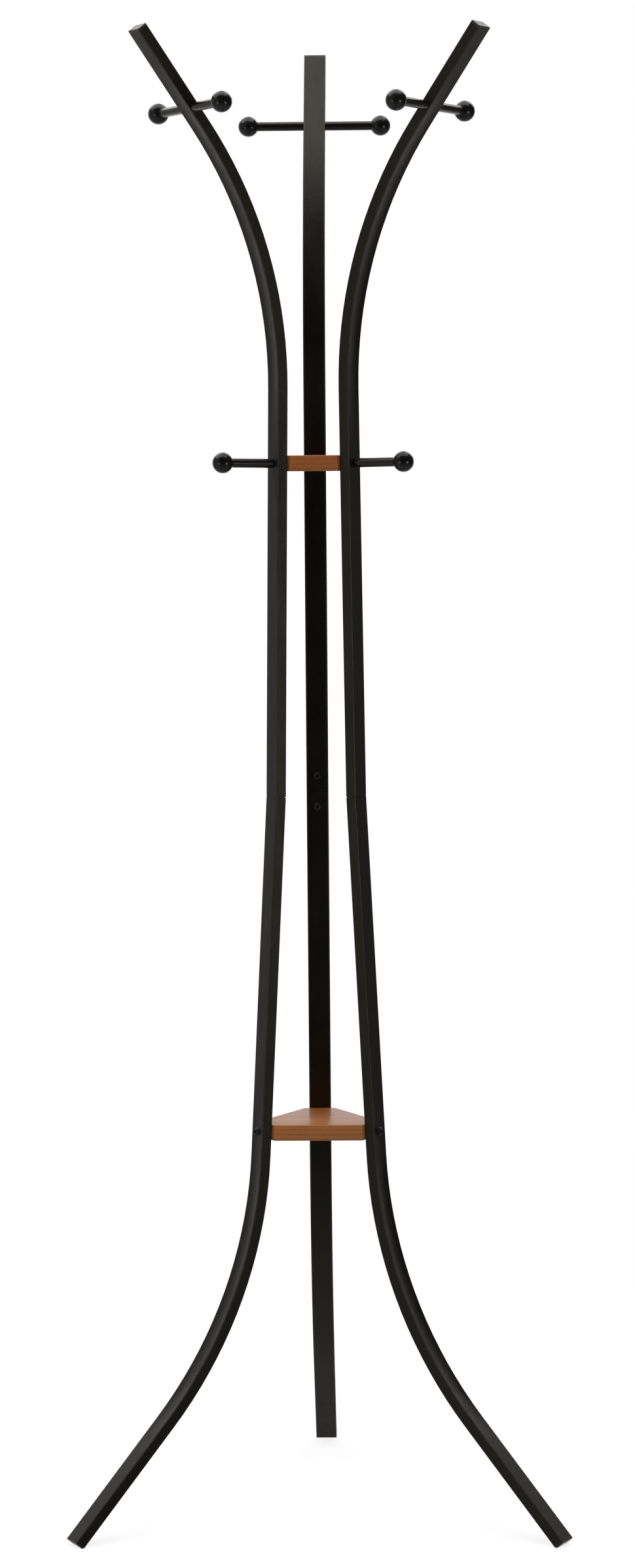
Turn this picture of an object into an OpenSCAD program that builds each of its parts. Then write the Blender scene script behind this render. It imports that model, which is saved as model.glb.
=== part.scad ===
// Three-legged coat stand. Three bent flat tubes lean together at the waist and
// flare out as hooks above and as feet below. Two wooden plates hold them apart.
// The origin is on the stand's axis at floor level, and +Z is up.

/* [Stand] */
// Height of the highest point, the tip caps, above the floor
overall_h = 1700; // [1660:10:1760]
// Distance from the stand's axis to the middle of a post at its joint
waist_r = 52.8; // [50:0.1:60]

/* [Post tube] */
// Width of the tube, across the post
tube_w = 25.4; // [24:0.1:28]
// Thickness of the tube, from its inner face to its outer face
tube_t = 12.7; // [12.7:0.1:15]
// Wall of the tube
wall = 1; // [0.8:0.1:1]
// Radius of the tube's rounded corners
corner_r = 1.5; // [1.3:0.1:2]

/* [Post shape] */
// Height of the joint between the lower and the upper tube
joint_z = 836; // [750:1:900]
// Height where the upper tube starts to bend outwards
upper_bend_z = 1301; // [1280:1:1310]
// Height where the lower tube starts to bend outwards
lower_bend_z = 423; // [415:1:430]
// Radius of both bends, at the middle of the tube
bend_r = 475; // [465:1:480]
// How far the upper tube leans in on its way up, in degrees
upper_lean = 0.8; // [0.5:0.1:1]
// How far the lower tube leans out on its way down, in degrees
lower_lean = 3.3; // [3:0.1:3.6]
// Slope of the straight tip from upright, in degrees
tip_angle = 36.8; // [34:0.1:38]
// Slope of the straight foot from upright, in degrees
foot_angle = 42.8; // [40:0.1:44]

/* [Hooks] */
// Diameter of the round hook rods
rod_d = 10.5; // [8:0.1:10.5]
// Diameter of the balls on the rods
ball_d = 23.5; // [20:0.5:26]
// Height of the cross bars through the tips
crossbar_z = 1611; // [1605:1:1620]
// Distance between the two balls of a cross bar, centre to centre
crossbar_l = 155; // [140:1:170]
// Height of the pegs, which also fasten the upper plate
peg_z = 1216; // [1150:1:1260]
// Distance from the middle of the tube to the centre of a peg's ball
peg_l = 70; // [60:1:85]

/* [Plates] */
// Thickness of both wooden plates
plate_t = 18; // [16:1:20]
// Height of the middle of the lower plate
lower_plate_z = 451; // [445:1:520]
// Width of the flat on each corner of a plate, where it meets a post
corner_flat = 36; // [30:1:40]
// Radius of the plates' upright edges
plate_edge_r = 3; // [1:0.5:4]

/* [Caps] */
// Thickness of a cap outside the tube
cap_t = 3; // [2:0.5:4]
// How much of a foot cap's lowest edge is cut away to stand flat
foot_trim = 2; // [1.5:0.1:2.5]

/* [Hidden] */
// Circles and spheres
$fn = 64;
// Clearance of a part that slides into or through another
slip = 0.1;
// A small overlap that makes a cut run clear of a face
over = 1;
// The straight beyond a bend is slimmer by this much on every side
lip = 0.02;

// Where each post stands around the axis: its name and its angle
POSTS = [["back", 90], ["left", 210], ["right", 330]];

// The inside of the tube
bore_w = tube_w - 2 * wall;
bore_t = tube_t - 2 * wall;
bore_corner_r = corner_r - wall;

// Both tubes stop short of the joint, which leaves a thin line
joint_gap = 0.3;
// The chamfers around the outside of a tip cap and of a foot cap
cap_chamfer = 0.8;
foot_cap_chamfer = 0.4;

// The straights and bends of the upper tube
upper_straight = (upper_bend_z - joint_z) / cos(upper_lean);
tip_bend = tip_angle + upper_lean;
tip_bend_end_z = upper_bend_z + bend_r * (sin(tip_angle) + sin(upper_lean));
tip_tube_end_z = overall_h - cap_t * cos(tip_angle)
    - (tube_t / 2 - cap_chamfer) * sin(tip_angle);
tip_straight = (tip_tube_end_z - tip_bend_end_z) / cos(tip_angle);
crossbar_s = (crossbar_z - tip_bend_end_z) / cos(tip_angle);

// The straights and bends of the lower tube
lower_straight = (joint_z - lower_bend_z) / cos(lower_lean);
foot_bend = foot_angle - lower_lean;
foot_bend_end_z = lower_bend_z - bend_r * (sin(foot_angle) - sin(lower_lean));
foot_tube_end_z = cap_t * cos(foot_angle) + tube_t / 2 * sin(foot_angle) - foot_trim;
foot_straight = (foot_bend_end_z - foot_tube_end_z) / cos(foot_angle);

// The studs at the ends of the rods, and how far they reach into a ball or a plate
stud_d = 6;
stud_hole_d = 6.6;
stud_in_ball = 10;
stud_in_plate = 20;
ball_hole_spare = 0.5;

// The brass inserts in the plates: a core with raised rings
insert_d = 10;
insert_core_d = 8.8;
insert_l = 15;
insert_depth = 1.5;
insert_ring_t = 1.2;
insert_ring_pitch = 2.6;
insert_first_ring = 0.4;

// The bolts that hold the lower plate
bolt_head_d = 10;
bolt_head_h = 3;
bolt_socket_d = 4.6;
bolt_socket_depth = 2;

// The joint: a bar inside both tubes, and one screw through each
joint_bar_l = 46;
joint_bar_play = 0.2;
joint_screw_s = 18;
joint_screw_d = 5;
joint_screw_l = 9;
joint_screw_hole_d = 5.4;
joint_screw_head_d = 9.2;
joint_screw_head_h = 2.6;
joint_screw_socket_d = 3.5;
joint_screw_socket_depth = 1.7;

// The flat on a ball where the rod's shoulder meets it
ball_flat = sqrt(pow(ball_d / 2, 2) - pow(rod_d / 2, 2));

// How far a plate's outline turns where a flat meets a long edge
plate_corner_turn = 60;

// The plug of a cap, inside the tube
plug_l = 14;
plug_wall = 1.6;
plug_gap = 0.9;
fin_t = 1.2;
fin_count = 3;

// Paints and materials
BLACK_PAINT = [0.09, 0.085, 0.08];
BLACK_GLOSS = [0.05, 0.05, 0.05];
CAP_BLACK = [0.13, 0.13, 0.13];
WOOD = [0.49, 0.30, 0.17];
STEEL = [0.6, 0.61, 0.62];
BRASS = [0.75, 0.6, 0.3];

// ---- Frames ----
// Each post is drawn in its own upright plane: local +X runs out from the stand's
// axis, local Y across the post, and local +Z up or along the tube.

module at_joint() {
    translate([waist_r, 0, joint_z]) children();
}

// On the straight of the upper tube, at height z
module on_upper(z) {
    at_joint()
        rotate([0, -upper_lean, 0])
            translate([0, 0, (z - joint_z) / cos(upper_lean)])
                children();
}

// On the straight of the lower tube, at height z
module on_lower(z) {
    at_joint()
        rotate([0, -lower_lean, 0])
            translate([0, 0, (z - joint_z) / cos(lower_lean)])
                children();
}

// At the far end of a bend that starts at the origin, going up and out
module after_bend(angle) {
    translate([bend_r * (1 - cos(angle)), 0, bend_r * sin(angle)])
        rotate([0, angle, 0])
            children();
}

// On the straight tip, a distance s beyond the bend
module on_tip(s) {
    on_upper(upper_bend_z)
        after_bend(tip_bend)
            translate([0, 0, s])
                children();
}

// On the straight foot, a distance s beyond the bend, with local +Z towards the floor
module on_foot(s) {
    at_joint()
        mirror([0, 0, 1])
            rotate([0, lower_lean, 0])
                translate([0, 0, lower_straight])
                    after_bend(foot_bend)
                        translate([0, 0, s])
                            children();
}

// ---- Shared shapes ----

// A rectangle t by w with round corners, centred
module rounded_rect(t, w, r) {
    square([t - 2 * r, w], center = true);
    square([t, w - 2 * r], center = true);
    for (x = [-1, 1])
        for (y = [-1, 1])
            translate([x * (t / 2 - r), y * (w / 2 - r)])
                circle(r);
}

// The tube's section, with the wall thinned from both sides by slim
module tube_section(slim = 0) {
    difference() {
        rounded_rect(tube_t - 2 * slim, tube_w - 2 * slim, corner_r - slim);
        rounded_rect(bore_t + 2 * slim, bore_w + 2 * slim, bore_corner_r + slim);
    }
}

module straight_tube(length, slim = 0) {
    linear_extrude(length) tube_section(slim);
}

// A bend that starts at the origin, going up, and turns towards +X
module bent_tube(angle) {
    translate([bend_r, 0, 0])
        rotate([90, 0, 180])
            rotate_extrude(angle = angle)
                translate([bend_r, 0])
                    tube_section();
}

// A straight, a bend and a second straight, starting just above the joint. The second
// straight starts inside the bend's wall, so that the two become one solid.
module post_tube(first, angle, second) {
    translate([0, 0, first]) {
        translate([0, 0, joint_gap - first]) straight_tube(first - joint_gap);
        bent_tube(angle);
        after_bend(angle)
            translate([0, 0, -over]) straight_tube(second + over, lip);
    }
}

// A cylinder along local X, from x0 to x1
module bar_x(d, x0, x1) {
    translate([x0, 0, 0])
        rotate([0, 90, 0])
            cylinder(d = d, h = x1 - x0);
}

// A domed screw with a hex socket. Its head sits on z = 0 and its shank runs down.
module domed_screw(head_d, head_h, socket_d, socket_depth, shank_d, shank_l) {
    dome_r = (pow(head_d / 2, 2) + pow(head_h, 2)) / (2 * head_h);
    difference() {
        union() {
            intersection() {
                cylinder(d = head_d, h = head_h);
                translate([0, 0, head_h - dome_r]) sphere(dome_r);
            }
            translate([0, 0, -shank_l]) cylinder(d = shank_d, h = shank_l);
        }
        translate([0, 0, head_h - socket_depth])
            cylinder(d = socket_d, h = head_h, $fn = 6);
    }
}

// A ball with a flat and a blind hole for the rod's stud. The rod comes from -Z.
module ball() {
    difference() {
        sphere(d = ball_d);
        translate([0, 0, -ball_flat - ball_d])
            cylinder(d = ball_d, h = ball_d);
        translate([0, 0, -ball_flat - over])
            cylinder(d = stud_d + slip, h = stud_in_ball + over + ball_hole_spare);
    }
}

// A brass insert with raised rings, along -X from the origin
module threaded_insert() {
    difference() {
        union() {
            bar_x(insert_core_d, -insert_l, 0);
            for (x = [insert_first_ring : insert_ring_pitch : insert_l - insert_ring_t])
                bar_x(insert_d - slip, -x - insert_ring_t, -x);
        }
        bar_x(stud_d + slip, -insert_l - over, over);
    }
}

// ---- Tubes and joints ----

module upper_tube() {
    color(BLACK_PAINT)
        difference() {
            on_upper(joint_z) post_tube(upper_straight, tip_bend, tip_straight);
            on_upper(peg_z)
                bar_x(stud_hole_d, -tube_t, tube_t);
            on_upper(joint_z + joint_screw_s)
                bar_x(joint_screw_hole_d, -tube_t, 0);
            on_tip(crossbar_s)
                rotate([90, 0, 0])
                    cylinder(d = rod_d + slip, h = 2 * tube_w, center = true);
        }
}

module lower_tube() {
    color(BLACK_PAINT)
        difference() {
            at_joint()
                mirror([0, 0, 1])
                    rotate([0, lower_lean, 0])
                        post_tube(lower_straight, foot_bend, foot_straight);
            on_lower(lower_plate_z)
                bar_x(stud_hole_d, -tube_t, tube_t);
            on_lower(joint_z - joint_screw_s)
                bar_x(joint_screw_hole_d, -tube_t, 0);
        }
}

// The point x out from the middle of a leaning tube and s up along it, from the joint
function on_lean(lean, x, s) = [x * cos(lean) - s * sin(lean),
                                x * sin(lean) + s * cos(lean)];

// The steel bar inside both tubes, kinked where the post is
module joint_bar() {
    half_t = bore_t / 2 - joint_bar_play;
    bar_w = bore_w - 2 * joint_bar_play;
    mean_lean = (upper_lean + lower_lean) / 2;
    kink_half_t = half_t / cos((lower_lean - upper_lean) / 2);
    color(STEEL)
        difference() {
            at_joint()
                rotate([90, 0, 0])
                    linear_extrude(bar_w, center = true)
                        polygon([on_lean(upper_lean, -half_t, joint_bar_l),
                                 on_lean(mean_lean, -kink_half_t, 0),
                                 on_lean(lower_lean, -half_t, -joint_bar_l),
                                 on_lean(lower_lean, half_t, -joint_bar_l),
                                 on_lean(mean_lean, kink_half_t, 0),
                                 on_lean(upper_lean, half_t, joint_bar_l)]);
            on_upper(joint_z + joint_screw_s)
                bar_x(joint_screw_d + slip, -tube_t, tube_t);
            on_lower(joint_z - joint_screw_s)
                bar_x(joint_screw_d + slip, -tube_t, tube_t);
        }
}

module joint_screw() {
    translate([-tube_t / 2, 0, 0])
        rotate([0, -90, 0])
            domed_screw(joint_screw_head_d, joint_screw_head_h, joint_screw_socket_d,
                        joint_screw_socket_depth, joint_screw_d, joint_screw_l);
}

module joint_screws() {
    color(BLACK_PAINT) {
        on_upper(joint_z + joint_screw_s) joint_screw();
        on_lower(joint_z - joint_screw_s) joint_screw();
    }
}

// ---- Caps ----

// A block t by w by h, from z = 0 up, whose top edges are chamfered
module chamfered_block(t, w, h, chamfer) {
    module side_wedge(width, depth) {
        rotate([90, 0, 0])
            linear_extrude(depth + 2 * over, center = true)
                polygon([[-width / 2, 0], [width / 2, 0], [width / 2, h - chamfer],
                         [width / 2 - chamfer, h], [-width / 2 + chamfer, h],
                         [-width / 2, h - chamfer]]);
    }
    intersection() {
        linear_extrude(h) rounded_rect(t, w, corner_r);
        side_wedge(t, w);
        rotate([0, 0, 90]) side_wedge(w, t);
    }
}

// A hollow plug with fins that grip the inside of the tube, below z = 0
module plug() {
    core_t = bore_t - 2 * plug_gap;
    core_w = bore_w - 2 * plug_gap;
    fin_pitch = plug_l / (fin_count + 1);
    difference() {
        union() {
            translate([-core_t / 2, -core_w / 2, -plug_l])
                cube([core_t, core_w, plug_l + cap_t / 2]);
            for (i = [1 : fin_count])
                translate([0, 0, -i * fin_pitch - fin_t / 2])
                    linear_extrude(fin_t)
                        square([bore_t - 2 * slip, bore_w - 2 * bore_corner_r], center = true);
        }
        translate([-core_t / 2 + plug_wall, -core_w / 2 + plug_wall, -plug_l - over])
            cube([core_t - 2 * plug_wall, core_w - 2 * plug_wall, plug_l + over]);
    }
}

module tip_cap() {
    color(CAP_BLACK)
        on_tip(tip_straight) {
            chamfered_block(tube_t, tube_w, cap_t, cap_chamfer);
            plug();
        }
}

// The foot cap is cut level with the floor, so that the stand rests on three flats
module foot_cap() {
    color(CAP_BLACK)
        difference() {
            on_foot(foot_straight) {
                chamfered_block(tube_t, tube_w, cap_t, foot_cap_chamfer);
                plug();
            }
            translate([0, -tube_w, -tube_w])
                cube([overall_h, 2 * tube_w, tube_w]);
        }
}

// ---- Hooks ----

// The rod through a tip, with a stud at each end
module cross_bar() {
    shoulder = crossbar_l / 2 - ball_flat;
    color(BLACK_PAINT)
        on_tip(crossbar_s)
            rotate([90, 0, 0]) {
                cylinder(d = rod_d, h = 2 * shoulder, center = true);
                cylinder(d = stud_d, h = 2 * (shoulder + stud_in_ball), center = true);
            }
}

module cross_bar_ball(side) {
    color(BLACK_GLOSS)
        on_tip(crossbar_s)
            rotate([-side * 90, 0, 0])
                translate([0, 0, crossbar_l / 2])
                    ball();
}

// The peg is one turned rod. Its long stud passes through the tube into the plate.
module peg() {
    shoulder = peg_l - ball_flat;
    color(BLACK_PAINT)
        on_upper(peg_z) {
            bar_x(rod_d, tube_t / 2, shoulder);
            bar_x(stud_d, -tube_t / 2 - stud_in_plate, shoulder + stud_in_ball);
        }
}

module peg_ball() {
    color(BLACK_GLOSS)
        on_upper(peg_z)
            translate([peg_l, 0, 0])
                rotate([0, 90, 0])
                    ball();
}

// ---- Plates ----

function turned(p, angle) = [p[0] * cos(angle) - p[1] * sin(angle),
                             p[0] * sin(angle) + p[1] * cos(angle)];

// A triangle whose corners are cut off flat, square to the posts, at radius r from the
// axis. An arc joins each flat to the long edges beside it.
module plate_outline(r) {
    half_turn = plate_corner_turn / 2;
    tangent = plate_edge_r * tan(half_turn);
    half_flat = corner_flat / 2;
    on_edge = [r - tangent * cos(half_turn), half_flat + tangent * sin(half_turn)];
    on_flat = [r, half_flat - tangent];
    corner = [[on_edge[0], -on_edge[1]], [on_flat[0], -on_flat[1]], on_flat, on_edge];
    polygon([for (post = POSTS) for (p = corner) turned(p, post[1])]);
    for (post = POSTS)
        rotate(post[1])
            for (side = [-1, 1])
                translate([r - plate_edge_r, side * on_flat[1]])
                    circle(plate_edge_r);
}

// What a post takes out of a plate: all beyond its inner face, and a stepped hole
module post_cut() {
    translate([-tube_t / 2, -corner_flat, -plate_t])
        cube([tube_t, 2 * corner_flat, 2 * plate_t]);
    bar_x(insert_d, -tube_t / 2 - insert_depth - insert_l, 0);
    bar_x(stud_hole_d, -tube_t / 2 - stud_in_plate - over, 0);
}

// The plate's middle is at height z, where the posts' middles are at radius r
module plate_blank(z, r, lean) {
    translate([0, 0, z - plate_t / 2])
        linear_extrude(plate_t)
            plate_outline(r - tube_t / 2 + plate_t / 2 * sin(lean));
}

module upper_plate() {
    color(WOOD)
        difference() {
            plate_blank(peg_z, waist_r - (peg_z - joint_z) * tan(upper_lean), upper_lean);
            for (post = POSTS)
                rotate(post[1])
                    on_upper(peg_z) post_cut();
        }
}

module lower_plate() {
    color(WOOD)
        difference() {
            plate_blank(lower_plate_z, waist_r + (joint_z - lower_plate_z) * tan(lower_lean),
                        lower_lean);
            for (post = POSTS)
                rotate(post[1])
                    on_lower(lower_plate_z) post_cut();
        }
}

module plate_insert() {
    color(BRASS)
        translate([-tube_t / 2 - insert_depth, 0, 0])
            threaded_insert();
}

module upper_plate_inserts() {
    for (post = POSTS)
        rotate(post[1])
            on_upper(peg_z) plate_insert();
}

module lower_plate_inserts() {
    for (post = POSTS)
        rotate(post[1])
            on_lower(lower_plate_z) plate_insert();
}

module lower_plate_bolts() {
    color(BLACK_PAINT)
        for (post = POSTS)
            rotate(post[1])
                on_lower(lower_plate_z)
                    translate([tube_t / 2, 0, 0])
                        rotate([0, 90, 0])
                            domed_screw(bolt_head_d, bolt_head_h, bolt_socket_d,
                                        bolt_socket_depth, stud_d, tube_t + stud_in_plate);
}

// ---- Assembly ----

upper_plate();
lower_plate();
upper_plate_inserts();
lower_plate_inserts();
lower_plate_bolts();
for (post = POSTS)
    rotate(post[1]) {
        upper_tube();
        lower_tube();
        joint_bar();
        joint_screws();
        tip_cap();
        foot_cap();
        cross_bar();
        cross_bar_ball(-1);
        cross_bar_ball(1);
        peg();
        peg_ball();
    }
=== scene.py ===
import math

import bmesh
import bpy
from mathutils import Matrix, Vector


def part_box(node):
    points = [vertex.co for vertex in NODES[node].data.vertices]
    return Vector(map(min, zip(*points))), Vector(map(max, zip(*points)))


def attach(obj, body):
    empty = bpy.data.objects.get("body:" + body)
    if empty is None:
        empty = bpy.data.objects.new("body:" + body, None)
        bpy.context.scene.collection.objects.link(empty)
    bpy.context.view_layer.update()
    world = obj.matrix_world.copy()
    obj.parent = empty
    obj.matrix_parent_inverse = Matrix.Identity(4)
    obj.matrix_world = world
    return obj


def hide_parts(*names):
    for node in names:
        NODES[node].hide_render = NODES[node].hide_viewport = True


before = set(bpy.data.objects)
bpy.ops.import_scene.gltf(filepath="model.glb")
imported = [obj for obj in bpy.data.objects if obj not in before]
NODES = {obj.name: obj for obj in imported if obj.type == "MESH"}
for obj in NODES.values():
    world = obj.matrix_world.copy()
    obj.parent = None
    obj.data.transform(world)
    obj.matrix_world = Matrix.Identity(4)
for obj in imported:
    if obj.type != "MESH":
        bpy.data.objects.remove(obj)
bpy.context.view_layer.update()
# Each post's azimuth about the stand, in degrees.
POSTS = {"back": 90, "left": 210, "right": 330}

# ---------------------------------------------------------------- camera
# The camera that the photograph was taken with, as fitted to the CAD's dimensions.
CAM_DISTANCE = 4.253
CAM_HEIGHT = 1.205
CAM_ORBIT = math.radians(1.171)
CAM_PITCH = math.radians(4.794)
CAM_YAW = math.radians(-0.0145)
CAM_ROLL = math.radians(-0.4265)
CAM_LENS = 85.16
CAM_SENSOR = 36
CAM_FAR = 200


def add_camera():
    turn = Matrix.Rotation(CAM_ORBIT, 3, "Z")
    swing = Matrix.Rotation(CAM_YAW, 3, "Z") @ turn
    forward = swing @ Vector((0, math.cos(CAM_PITCH), -math.sin(CAM_PITCH)))
    right = swing @ Vector((1, 0, 0))
    up = right.cross(forward)
    c, s = math.cos(CAM_ROLL), math.sin(CAM_ROLL)
    right, up = right * c + up * s, up * c - right * s
    cam = bpy.data.objects.new("camera", bpy.data.cameras.new("camera"))
    cam.data.sensor_width = CAM_SENSOR
    cam.data.lens = CAM_LENS
    cam.data.clip_end = CAM_FAR
    m = Matrix((right, up, -forward)).transposed().to_4x4()
    m.translation = turn @ Vector((0, -CAM_DISTANCE, CAM_HEIGHT))
    cam.matrix_world = m
    bpy.context.scene.collection.objects.link(cam)
    bpy.context.scene.camera = cam


# ---------------------------------------------------------------- materials
BLACK, WHITE = (0, 0, 0), (1, 1, 1)


def times(colour, by):
    """A colour times a number, or times another colour channel by channel."""
    if isinstance(by, (int, float)):
        by = (by, by, by)
    return tuple(c * k for c, k in zip(colour, by))


class Nodes:
    """A material's node tree, with short ways to add nodes to it."""

    def __init__(self, name):
        self.mat = bpy.data.materials.new(name)
        self.mat.use_nodes = True
        self.tree = self.mat.node_tree
        self.tree.nodes.clear()
        out = self.tree.nodes.new("ShaderNodeOutputMaterial")
        self.bsdf = self.tree.nodes.new("ShaderNodeBsdfPrincipled")
        self.tree.links.new(self.bsdf.outputs[0], out.inputs[0])

    def put(self, value, socket):
        """Links a node's output to the socket, or sets the socket to a plain value."""
        if isinstance(value, bpy.types.NodeSocket):
            self.tree.links.new(value, socket)
        else:
            socket.default_value = value

    def add(self, kind, inputs=(), **props):
        n = self.tree.nodes.new("ShaderNode" + kind)
        for k, v in props.items():
            setattr(n, k, v)
        for k, v in dict(inputs).items():
            self.put(v, n.inputs[k])
        return n

    def shader(self, **inputs):
        """Sets the surface's inputs, with an underscore for each space in their names."""
        for k, v in inputs.items():
            self.put(v, self.bsdf.inputs[k.replace("_", " ")])

    def coords(self, scale=(1, 1, 1), move=(0, 0, 0), turn=(0, 0, 0)):
        """Object coordinates in metres, turned, stretched and moved."""
        at = self.add("TexCoord").outputs["Object"]
        return self.add("Mapping", {"Vector": at, "Scale": scale, "Location": move,
                                    "Rotation": turn}).outputs[0]

    def noise(self, vector, scale, detail, rough):
        return self.add("TexNoise", {"Vector": vector, "Scale": scale, "Detail": detail,
                                     "Roughness": rough}).outputs[0]

    def ramp(self, factor, stops):
        n = self.add("ValToRGB", {"Fac": factor})
        e = n.color_ramp.elements
        while len(e) < len(stops):
            e.new(0.5)
        for i, (at, colour) in enumerate(stops):
            e[i].position = at
            e[i].color = (*colour, 1)
        return n.outputs[0]

    def span(self, factor, low, high, start, end):
        """Goes from low to high as the factor goes from start to end, and stays there."""
        return self.add("MapRange", {"Value": factor, "From Min": start, "From Max": end,
                                     "To Min": low, "To Max": high}).outputs[0]

    def mix(self, factor, a, b, blend="MIX"):
        n = self.add("Mix", data_type="RGBA", blend_type=blend)
        self.put(factor, n.inputs[0])
        for value, socket in ((a, n.inputs[6]), (b, n.inputs[7])):
            self.put((*value, 1) if isinstance(value, tuple) else value, socket)
        return n.outputs[2]

    def maths(self, op, a, b=0.0):
        return self.add("Math", {0: a, 1: b}, operation=op).outputs[0]

    def dot(self, a, b):
        return self.add("VectorMath", {0: a, 1: b}, operation="DOT_PRODUCT").outputs["Value"]

    def bump(self, height, strength, distance, under=None):
        ins = {"Height": height, "Strength": strength, "Distance": distance}
        if under is not None:
            ins["Normal"] = under
        return self.add("Bump", ins).outputs[0]


# The heights where each bend of a tube starts, is full, is still full, and ends.
BENDS = [(0.10, 0.16, 0.38, 0.50), (1.23, 1.34, 1.58, 1.66)]
# How deep a bend's outer face sinks in the middle, and half the width that it sinks over.
DISH_DEPTH = 0.0011
DISH_HALF = 0.0112
# The faces that a bend dishes: how far they turn outwards, as a cosine, from where to where.
DISH_TURN = (0.3, 0.6)
# How much painted highlight a surface gets, by how far it turns sideways: only the rounded corners
# get it.
CORNER_HIGHLIGHT = [(0.12, BLACK), (0.45, WHITE), (0.85, WHITE), (0.98, BLACK)]
# The painted highlight's colour: much lighter than the paint, laid along the rounded corners where
# they catch light.
CORNER_HIGHLIGHT_COLOUR = (0.022, 0.020, 0.017)


def bent_part(n, height):
    """1 on the bends of a tube, 0 on its straights."""
    total = 0.0
    for low, low_full, high_full, high in BENDS:
        rise = n.span(height, 0, 1, low, low_full)
        fall = n.span(height, 1, 0, high_full, high)
        total = n.maths("ADD", total, n.maths("MULTIPLY", rise, fall))
    return total


def tube_corners_and_bends(n, azimuth):
    """The painted highlight along a tube's rounded corners, and what bending leaves on it: how much
    painted highlight the corners get, in patches, and the normal of its outer face, which sinks a
    little in the middle all along a bend."""
    a = math.radians(azimuth)
    outwards = (math.cos(a), math.sin(a), 0)
    sideways = (-math.sin(a), math.cos(a), 0)
    tc = n.add("TexCoord")
    normal, point = tc.outputs["Normal"], tc.outputs["Object"]
    bent = bent_part(n, n.add("SeparateXYZ", {"Vector": point}).outputs["Z"])

    # Painted highlight: a lighter colour along the rounded corners, in noisy patches.
    corner = n.ramp(n.maths("ABSOLUTE", n.dot(normal, sideways)), CORNER_HIGHLIGHT)
    patchiness = n.noise(n.coords(scale=(1, 1, 0.3)), scale=55, detail=4, rough=0.6)
    patches = n.span(patchiness, 0.5, 1, start=0.35, end=0.6)
    corner_highlight = n.maths("MULTIPLY", corner, patches)

    across = n.maths("DIVIDE", n.dot(point, sideways), DISH_HALF)
    sunk = n.maths("SUBTRACT", n.maths("MULTIPLY", across, across), 1.0)
    sunk = n.maths("MULTIPLY", n.maths("MINIMUM", sunk, 0.0), DISH_DEPTH)
    outer = n.span(n.dot(normal, outwards), 0, 1, *DISH_TURN)
    sunk = n.maths("MULTIPLY", n.maths("MULTIPLY", sunk, bent), outer)
    return corner_highlight, n.bump(sunk, strength=1.0, distance=1.0)


def powder_coat(name, base, rough, grain=1.0, coat=0.0, azimuth=None):
    """Satin powder paint on steel: a fine pebbled skin over a long soft wave, and faint rub marks.
    A tube's paint has its post's azimuth, for the painted highlight on its rounded corners and for
    its dished bends."""
    n = Nodes(name)
    at = n.coords()
    pebble = n.noise(at, scale=1150, detail=3, rough=0.6)
    peel = n.noise(at, scale=260, detail=2, rough=0.5)
    cloud = n.noise(at, scale=13, detail=4, rough=0.55)
    rubs = n.noise(n.coords(scale=(1, 1, 0.25)), scale=70, detail=5, rough=0.65)
    shade = n.ramp(cloud, [(0.3, times(base, 0.82)), (0.72, times(base, 1.22))])
    speck = n.span(pebble, 0, 0.35, start=0.62, end=0.8)
    colour = n.mix(speck, shade, times(base, 2.1))
    flat = None
    if azimuth is not None:
        corner_highlight, flat = tube_corners_and_bends(n, azimuth)
        # Paints the highlight onto the rounded corners of the tube.
        colour = n.mix(corner_highlight, colour, CORNER_HIGHLIGHT_COLOUR)
    r = n.maths("ADD", n.span(cloud, -0.05, 0.06, start=0.3, end=0.7),
                n.span(rubs, -0.05, 0.07, start=0.35, end=0.7))
    r = n.maths("ADD", r, rough)
    skin = n.bump(peel, strength=0.17 * grain, distance=0.0004, under=flat)
    skin = n.bump(pebble, strength=0.70 * grain, distance=0.00015, under=skin)
    n.shader(Base_Color=colour, Roughness=r, Normal=skin, Specular_IOR_Level=0.45,
             Specular_Tint=(1.0, 0.91, 0.79, 1), Coat_Weight=coat, Coat_Roughness=0.14)
    return n.mat


def gloss_lacquer(name):
    """The balls: deep black lacquer with a clear coat, a little orange peel and fine wipe marks."""
    n = Nodes(name)
    at = n.coords()
    peel = n.noise(at, scale=330, detail=2, rough=0.45)
    wipes = n.noise(n.coords(scale=(1, 1, 5), turn=(0.5, 0.3, 0)), scale=160, detail=6, rough=0.7)
    cloud = n.noise(at, scale=60, detail=3, rough=0.5)
    colour = n.ramp(cloud, [(0.3, (0.0020, 0.0019, 0.0018)), (0.75, (0.0040, 0.0037, 0.0034))])
    n.shader(Base_Color=colour, Roughness=n.span(wipes, 0.16, 0.34, start=0.35, end=0.75),
             Normal=n.bump(peel, strength=0.06, distance=0.0004), Specular_IOR_Level=0.3,
             Coat_Weight=0.3, Coat_Roughness=0.06)
    return n.mat


def moulded_plastic(name):
    """The caps: dull black plastic with a spark-eroded grain and a few scuffs."""
    n = Nodes(name)
    grain = n.noise(n.coords(), scale=1900, detail=2, rough=0.5)
    scuff = n.noise(n.coords(scale=(1, 3, 1), turn=(0, 0, 0.7)), scale=120, detail=6, rough=0.75)
    marks = n.span(scuff, 0, 0.5, start=0.6, end=0.8)
    colour = n.mix(marks, (0.010, 0.0095, 0.009), (0.035, 0.034, 0.032))
    n.shader(Base_Color=colour, Roughness=n.span(scuff, 0.20, 0.42, start=0.3, end=0.75),
             Normal=n.bump(grain, strength=0.2, distance=0.0001),
             Specular_Tint=(1.0, 0.94, 0.86, 1))
    return n.mat


def blackened_steel(name):
    """Bolts, screws and joint bars: black oxide on steel, polished a little in patches."""
    n = Nodes(name)
    at = n.coords()
    fine = n.noise(at, scale=900, detail=4, rough=0.6)
    cloud = n.noise(at, scale=160, detail=3, rough=0.6)
    patchiness = n.span(cloud, 0, 0.55, start=0.55, end=0.75)
    colour = n.mix(patchiness, (0.022, 0.021, 0.020), (0.11, 0.105, 0.10))
    n.shader(Base_Color=colour, Roughness=n.span(fine, 0.28, 0.5, start=0.3, end=0.7),
             Metallic=0.75, Normal=n.bump(fine, strength=0.12, distance=0.0001))
    return n.mat


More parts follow.
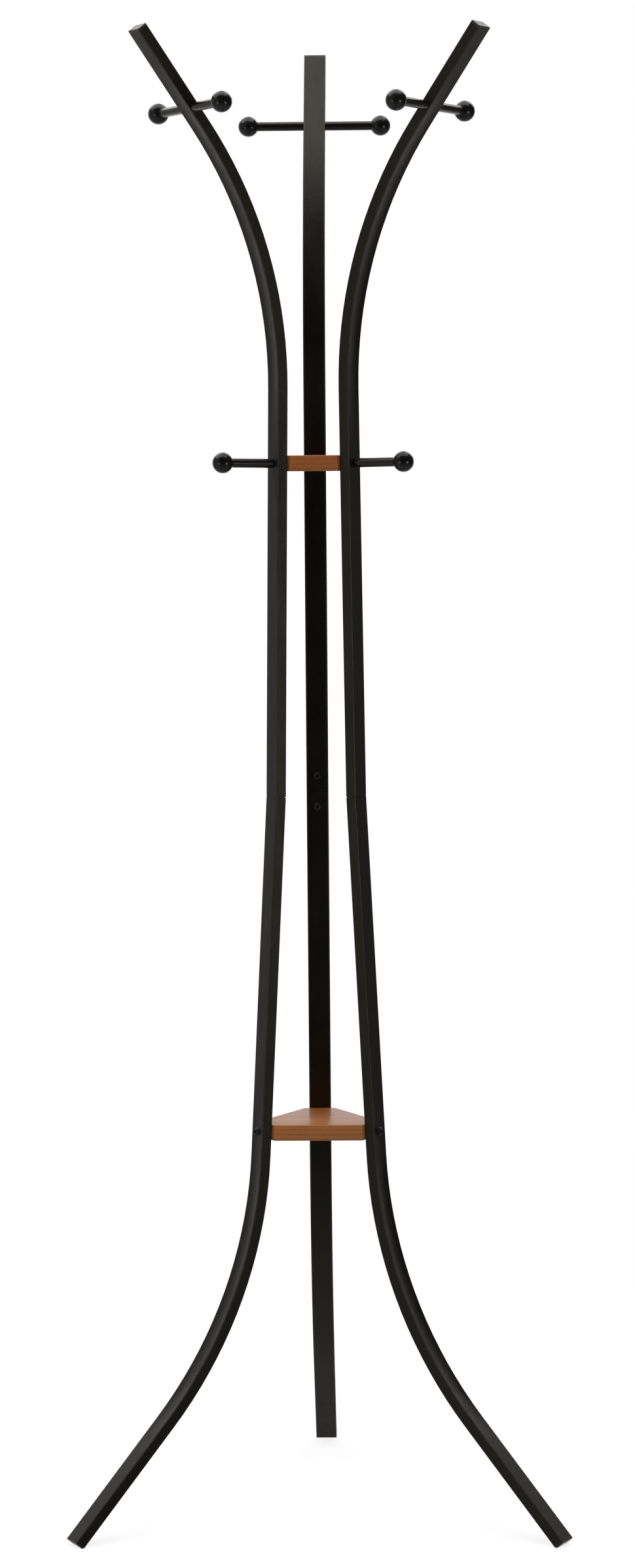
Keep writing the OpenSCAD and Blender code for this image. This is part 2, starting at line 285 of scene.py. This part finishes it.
def turned_brass(name):
    """The threaded inserts inside the plates: brass with fine tool marks and dull patches."""
    n = Nodes(name)
    base = (0.70, 0.50, 0.22)
    lines = n.noise(n.coords(), scale=90, detail=4, rough=0.65)
    patch = n.noise(n.coords(), scale=120, detail=3, rough=0.6)
    colour = n.mix(n.span(patch, 0, 0.7, start=0.4, end=0.75), base, times(base, 0.6))
    r = n.maths("ADD", n.span(lines, -0.08, 0.1, start=0.3, end=0.7), 0.32)
    n.shader(Base_Color=colour, Roughness=r, Metallic=1.0,
             Normal=n.bump(lines, strength=0.15, distance=0.0001))
    return n.mat


# The wood's colours: the rings from early to late growth, the fibres, and the open pores.
RING_COLOURS = [(0.0, (0.295, 0.104, 0.021)), (0.55, (0.270, 0.092, 0.0175)),
                (0.93, (0.212, 0.066, 0.012)), (1.0, (0.282, 0.098, 0.019))]
FIBRE_COLOUR = (0.235, 0.075, 0.0155)
PORE_COLOUR = (0.105, 0.031, 0.008)
# What the slow change along the board multiplies the rings by, at its darkest and lightest.
BOARD_DARK, BOARD_LIGHT = (0.86, 0.84, 0.82), (1.08, 1.07, 1.06)


def lacquered_wood(name, pith, along, seed, depth):
    """Warm brown hardwood, solid all through: rings around a far pith that runs along the grain,
    fibres and pores stretched along it, and a satin lacquer on top."""
    n = Nodes(name)
    grain = n.coords(turn=(0, 0, -along), move=(0, pith[0], pith[1]))

    def stretched(squeeze, shift):
        """The grain's coordinates, squeezed along it so that patterns come out long."""
        return n.add("Mapping", {"Vector": grain, "Scale": (squeeze, 1, 1),
                                 "Location": shift}).outputs[0]

    rings_at = stretched(0.1, (seed, 0, 0))
    rings = n.add("TexWave", {"Vector": rings_at, "Scale": 58, "Distortion": 3.2, "Detail": 3,
                              "Detail Scale": 0.55, "Detail Roughness": 0.6},
                  wave_type="RINGS", rings_direction="X", wave_profile="SAW").outputs[0]
    board = n.noise(rings_at, scale=22, detail=3, rough=0.5)
    fibre = n.noise(stretched(0.03, (seed, 0, 0)), scale=700, detail=4, rough=0.6)
    pores = n.noise(stretched(0.07, (0, 0, seed)), scale=1250, detail=1, rough=0.4)
    # depth is a painted shade: it multiplies the wood's colours, darkening the upper plate's, whose
    # front gets less light.
    tone = n.ramp(board, [(0.3, times(BOARD_DARK, depth)), (0.7, times(BOARD_LIGHT, depth))])
    colour = n.mix(1.0, n.ramp(rings, RING_COLOURS), tone, "MULTIPLY")
    colour = n.mix(n.span(fibre, 0, 0.5, start=0.42, end=0.75), colour,
                   times(FIBRE_COLOUR, depth))
    pore = n.span(pores, 0, 1, start=0.63, end=0.72)
    colour = n.mix(n.maths("MULTIPLY", pore, 0.5), colour, PORE_COLOUR)
    r = n.maths("ADD", n.span(fibre, 0.36, 0.52, start=0.3, end=0.7),
                n.maths("MULTIPLY", pore, 0.2))
    skin = n.bump(n.maths("SUBTRACT", fibre, pore), strength=0.11, distance=0.0002)
    n.shader(Base_Color=colour, Roughness=r, Normal=skin, Specular_Tint=(1.0, 0.95, 0.80, 1),
             Coat_Weight=0.5, Coat_Roughness=0.22)
    return n.mat


# ---------------------------------------------------------------- plates
# The width of the flat at each post before its corners are rounded, and the corners' radius,
# turn and steps.
FLAT_WIDTH = 0.036
CORNER_R = 0.003
CORNER_TURN = math.radians(60)
CORNER_STEPS = 8
# The rounding of the top and bottom edges, and its steps.
EASE = 0.0011
EASE_STEPS = 5
# The hole for an insert: its radius and steps, and how far it is cut past the insert's outer end.
HOLE_RADIUS = 0.005
HOLE_STEPS = 48
HOLE_PAST = 0.006
# How deep from an insert's end its points still count as its end ring.
INSERT_END = 0.0012
# Edges that turn by more than this stay sharp.
SHARP_ANGLE = math.radians(32)
# Points this close in height are level, and points this close together are welded.
LEVEL = 1e-5
WELD = 1e-6


def cad_points(node):
    return [Vector(v.co) for v in NODES[node].data.vertices]


def direction(azimuth):
    a = math.radians(azimuth)
    return Vector((math.cos(a), math.sin(a), 0))


def flat_radius(points, z):
    """How far out the plate's flat at the back post lies, at height z."""
    out = direction(POSTS["back"])
    return max(p.dot(out) for p in points if abs(p.z - z) < LEVEL)


def outline(radius, inset):
    """The plate's outline, counter-clockwise: its flats lie at radius, less inset all round."""
    pts = []
    r = CORNER_R - inset
    cx = radius - CORNER_R
    cy = FLAT_WIDTH / 2 - CORNER_R * math.tan(CORNER_TURN / 2)
    for az in sorted(POSTS.values()):
        turn = Matrix.Rotation(math.radians(az), 2)
        for side in (-1, 1):
            for i in range(CORNER_STEPS + 1):
                a = CORNER_TURN * i / CORNER_STEPS
                if side < 0:
                    a -= CORNER_TURN
                pts.append(turn @ Vector((cx + r * math.cos(a), side * cy + r * math.sin(a))))
    return pts


def build_plate(node, name):
    """The plate as a closed mesh in the CAD's place, its edges eased and its sides leaning as
    the posts do."""
    low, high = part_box(node)
    z0, z1 = low[2], high[2]
    pts = cad_points(node)
    r0, r1 = flat_radius(pts, z0), flat_radius(pts, z1)
    bottom = []
    for i in range(EASE_STEPS, -1, -1):
        t = math.pi / 2 * i / EASE_STEPS
        bottom.append((z0 + EASE * (1 - math.sin(t)), EASE * (1 - math.cos(t))))
    top = [(z1 + z0 - z, inset) for z, inset in reversed(bottom)]
    bm = bmesh.new()
    rings = []
    for z, inset in bottom + top:
        r = r0 + (r1 - r0) * (z - z0) / (z1 - z0)
        rings.append([bm.verts.new((p.x, p.y, z)) for p in outline(r, inset)])
    n = len(rings[0])
    for a, b in zip(rings, rings[1:]):
        for i in range(n):
            bm.faces.new((a[i], a[(i + 1) % n], b[(i + 1) % n], b[i]))
    bm.faces.new(list(reversed(rings[0])))
    bm.faces.new(rings[-1])
    bmesh.ops.remove_doubles(bm, verts=bm.verts, dist=WELD)
    bmesh.ops.recalc_face_normals(bm, faces=bm.faces)
    return new_object(bm, name)


def new_object(bm, name):
    mesh = bpy.data.meshes.new(name)
    bm.to_mesh(mesh)
    bm.free()
    obj = bpy.data.objects.new(name, mesh)
    bpy.context.scene.collection.objects.link(obj)
    return obj


def add_hole(bm, start, end):
    axis = end - start
    turn = axis.to_track_quat("Z", "Y").to_matrix().to_4x4()
    bmesh.ops.create_cone(bm, cap_ends=True, segments=HOLE_STEPS, radius1=HOLE_RADIUS,
                          radius2=HOLE_RADIUS, depth=axis.length,
                          matrix=Matrix.Translation((start + end) / 2) @ turn)


def drill_plate(obj, inserts):
    """Cuts a hole for each brass insert, from the insert's inner end out through the flat."""
    points = cad_points(inserts)
    bm = bmesh.new()
    for az in POSTS.values():
        out = direction(az)
        # The points nearer to this post's direction than to the others', 120 degrees away.
        mine = [p for p in points if p.xy.normalized().dot(out.xy) > 0.5]
        ends = []
        for at in (min(p.dot(out) for p in mine), max(p.dot(out) for p in mine)):
            ring = [p for p in mine if abs(p.dot(out) - at) < INSERT_END]
            ends.append(sum(ring, Vector()) / len(ring))
        axis = (ends[1] - ends[0]).normalized()
        add_hole(bm, ends[0], ends[1] + axis * HOLE_PAST)
    cutter = new_object(bm, "cutter")
    cut = obj.modifiers.new("holes", "BOOLEAN")
    cut.operation = "DIFFERENCE"
    cut.solver = "EXACT"
    cut.object = cutter
    bpy.context.view_layer.update()
    done = bpy.data.meshes.new_from_object(obj.evaluated_get(bpy.context.evaluated_depsgraph_get()))
    obj.modifiers.clear()
    obj.data = done
    bpy.data.objects.remove(cutter)


# ---------------------------------------------------------------- stage
# The dim light that comes from all round, and the room's washes of light on top of it. Each wash
# has its direction, where it starts and is full (as a cosine), and its strength.
ROOM_DIM = 0.02
ROOM = [
    ((0, 1, 0), 0.55, 0.95, 0.95),
    ((-1, 0, 0), 0.2, 0.95, 0.34),
    ((1, 0, 0), 0.2, 0.95, 0.03),
    ((0, 0, -1), 0.15, 0.9, 0.42),
    ((-0.40, 0.70, 0.59), 0.93, 0.98, 1.7),
    ((0.40, 0.70, 0.59), 0.93, 0.98, 1.7),
]
# Area lights: where each is, what it points at, its width and height, its watts, and whether
# glossy surfaces show it.
LIGHTS = {
    "strip_left": ((-2.05, -2.15, 0.76), (0, 0, 0.8), (0.8, 0.95), 4.2, True),
    "strip_right": ((2.1, -2.05, 0.78), (0, 0, 0.8), (0.9, 0.85), 9, True),
    "ceiling": ((-0.8, 0.35, 3.6), (-0.8, 0.35, 0.8), (4.8, 2.4), 58, True),
    "fill_top": ((0, -0.6, 3.5), (0, 0, 0.5), (2.5, 2.5), 125, False),
    "fill_front": ((0, -3.5, 2.2), (0, 0, 0.8), (2.5, 2.0), 5, False),
}
# The floor: its radius and steps, its paper's shade, and how it turns into plain white between
# two distances from the middle, starting from a part of the way.
FLOOR_RADIUS = 60
FLOOR_STEPS = 96
FLOOR_SHADE = 0.93
FLOOR_FADE = (0.5, 2.4)
FLOOR_FADED_AT_START = 0.86


def add_floor():
    bm = bmesh.new()
    bmesh.ops.create_circle(bm, cap_ends=True, segments=FLOOR_STEPS, radius=FLOOR_RADIUS)
    floor = new_object(bm, "floor")
    n = Nodes("floor_paper")
    n.tree.nodes.clear()
    out = n.add("OutputMaterial")
    tc = n.add("TexCoord")
    dist = n.add("VectorMath", {0: tc.outputs["Object"]}, operation="LENGTH")
    far = n.add("MapRange", {"Value": dist.outputs["Value"], "From Min": FLOOR_FADE[0],
                             "From Max": FLOOR_FADE[1]}, interpolation_type="SMOOTHSTEP")
    faded = n.span(far.outputs[0], FLOOR_FADED_AT_START, 1, start=0, end=1)
    near = n.add("BsdfDiffuse", {"Color": (FLOOR_SHADE, FLOOR_SHADE, FLOOR_SHADE, 1)})
    glow = n.add("Emission", {"Color": (1, 1, 1, 1), "Strength": 1.0})
    mix = n.add("MixShader", {0: faded, 1: near.outputs[0], 2: glow.outputs[0]})
    n.tree.links.new(mix.outputs[0], out.inputs[0])
    floor.data.materials.append(n.mat)
    floor.visible_glossy = False


def add_world():
    """White where the camera sees it; a dim studio with a lit backdrop for everything else."""
    world = bpy.data.worlds.new("studio")
    bpy.context.scene.world = world
    world.use_nodes = True
    nodes, link = world.node_tree.nodes, world.node_tree.links.new
    nodes.clear()
    out = nodes.new("ShaderNodeOutputWorld")
    seen = nodes.new("ShaderNodeBackground")
    room = nodes.new("ShaderNodeBackground")
    seen.inputs["Color"].default_value = (1, 1, 1, 1)
    tc = nodes.new("ShaderNodeTexCoord")
    total = None
    for aim, start, full, strength in ROOM:
        along = nodes.new("ShaderNodeVectorMath")
        along.operation = "DOT_PRODUCT"
        along.inputs[1].default_value = aim
        link(tc.outputs["Generated"], along.inputs[0])
        wash = nodes.new("ShaderNodeMapRange")
        wash.interpolation_type = "SMOOTHSTEP"
        wash.inputs["From Min"].default_value = start
        wash.inputs["From Max"].default_value = full
        wash.inputs["To Max"].default_value = strength
        link(along.outputs["Value"], wash.inputs["Value"])
        plus = nodes.new("ShaderNodeMath")
        plus.inputs[0].default_value = ROOM_DIM
        if total is not None:
            link(total, plus.inputs[0])
        link(wash.outputs[0], plus.inputs[1])
        total = plus.outputs[0]
    link(total, room.inputs["Strength"])
    path = nodes.new("ShaderNodeLightPath")
    mix = nodes.new("ShaderNodeMixShader")
    link(path.outputs["Is Camera Ray"], mix.inputs[0])
    link(room.outputs[0], mix.inputs[1])
    link(seen.outputs[0], mix.inputs[2])
    link(mix.outputs[0], out.inputs[0])


def add_area(name, at, aim, size, power, shine):
    light = bpy.data.lights.new(name, "AREA")
    light.shape = "RECTANGLE"
    light.size, light.size_y = size
    light.energy = power
    obj = bpy.data.objects.new(name, light)
    obj.location = at
    obj.rotation_euler = (Vector(aim) - Vector(at)).to_track_quat("-Z", "Y").to_euler()
    obj.visible_camera = False
    obj.visible_glossy = shine
    bpy.context.scene.collection.objects.link(obj)


# ---------------------------------------------------------------- build
add_camera()
bpy.context.scene.view_settings.view_transform = "Standard"
add_world()
add_floor()
for name, light in LIGHTS.items():
    add_area(name, *light)

TUBE_BLACK = (0.0026, 0.0021, 0.0015)
ROD_BLACK = (0.0024, 0.0021, 0.0018)
tube_paints = {post: powder_coat("black_powder_coat_" + post, TUBE_BLACK, rough=0.40, azimuth=az)
               for post, az in POSTS.items()}
rod_paint = powder_coat("black_rod_enamel", ROD_BLACK, rough=0.27, grain=0.3, coat=0.35)
ball = gloss_lacquer("black_ball_lacquer")
plastic = moulded_plastic("black_cap_plastic")
bolts = blackened_steel("blackened_bolt_steel")
brass = turned_brass("insert_brass")

# Each kind of CAD node's material. The tubes have one for each post.
LOOKS = {"upper_tube": tube_paints, "lower_tube": tube_paints, "joint_bar": bolts,
         "joint_screws": bolts, "tip_cap": plastic, "foot_cap": plastic, "cross_bar": rod_paint,
         "peg": rod_paint, "ball_a": ball, "ball_b": ball, "peg_ball": ball,
         "upper_plate_inserts": brass, "lower_plate_inserts": brass, "lower_plate_bolts": bolts}
for name, obj in NODES.items():
    kind, _, post = name.rpartition("_")
    look = LOOKS.get(kind if post in POSTS else name)
    if look is not None:
        for s in obj.material_slots:
            s.material = look[post] if isinstance(look, dict) else look

# Each plate's wood: how far off the pith is, the grain's angle, a seed, and a painted shade that
# its colours are multiplied by, darker for the upper plate, which gets less light.
WOODS = {"upper_plate": ((0.05, 0.11), 0.0, 3.7, (0.72, 0.61, 0.52)),
         "lower_plate": ((-0.03, 0.14), 0.05, 8.1, (1, 1, 1))}
for node, (pith, along, seed, depth) in WOODS.items():
    piece = build_plate(node, node + "_wood")
    drill_plate(piece, node + "_inserts")
    piece.data.materials.clear()
    piece.data.materials.append(lacquered_wood(node + "_lacquered", pith, along, seed, depth))
    piece.data.shade_smooth()
    piece.data.set_sharp_from_angle(angle=SHARP_ANGLE)
    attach(piece, "root")
    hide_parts(node)
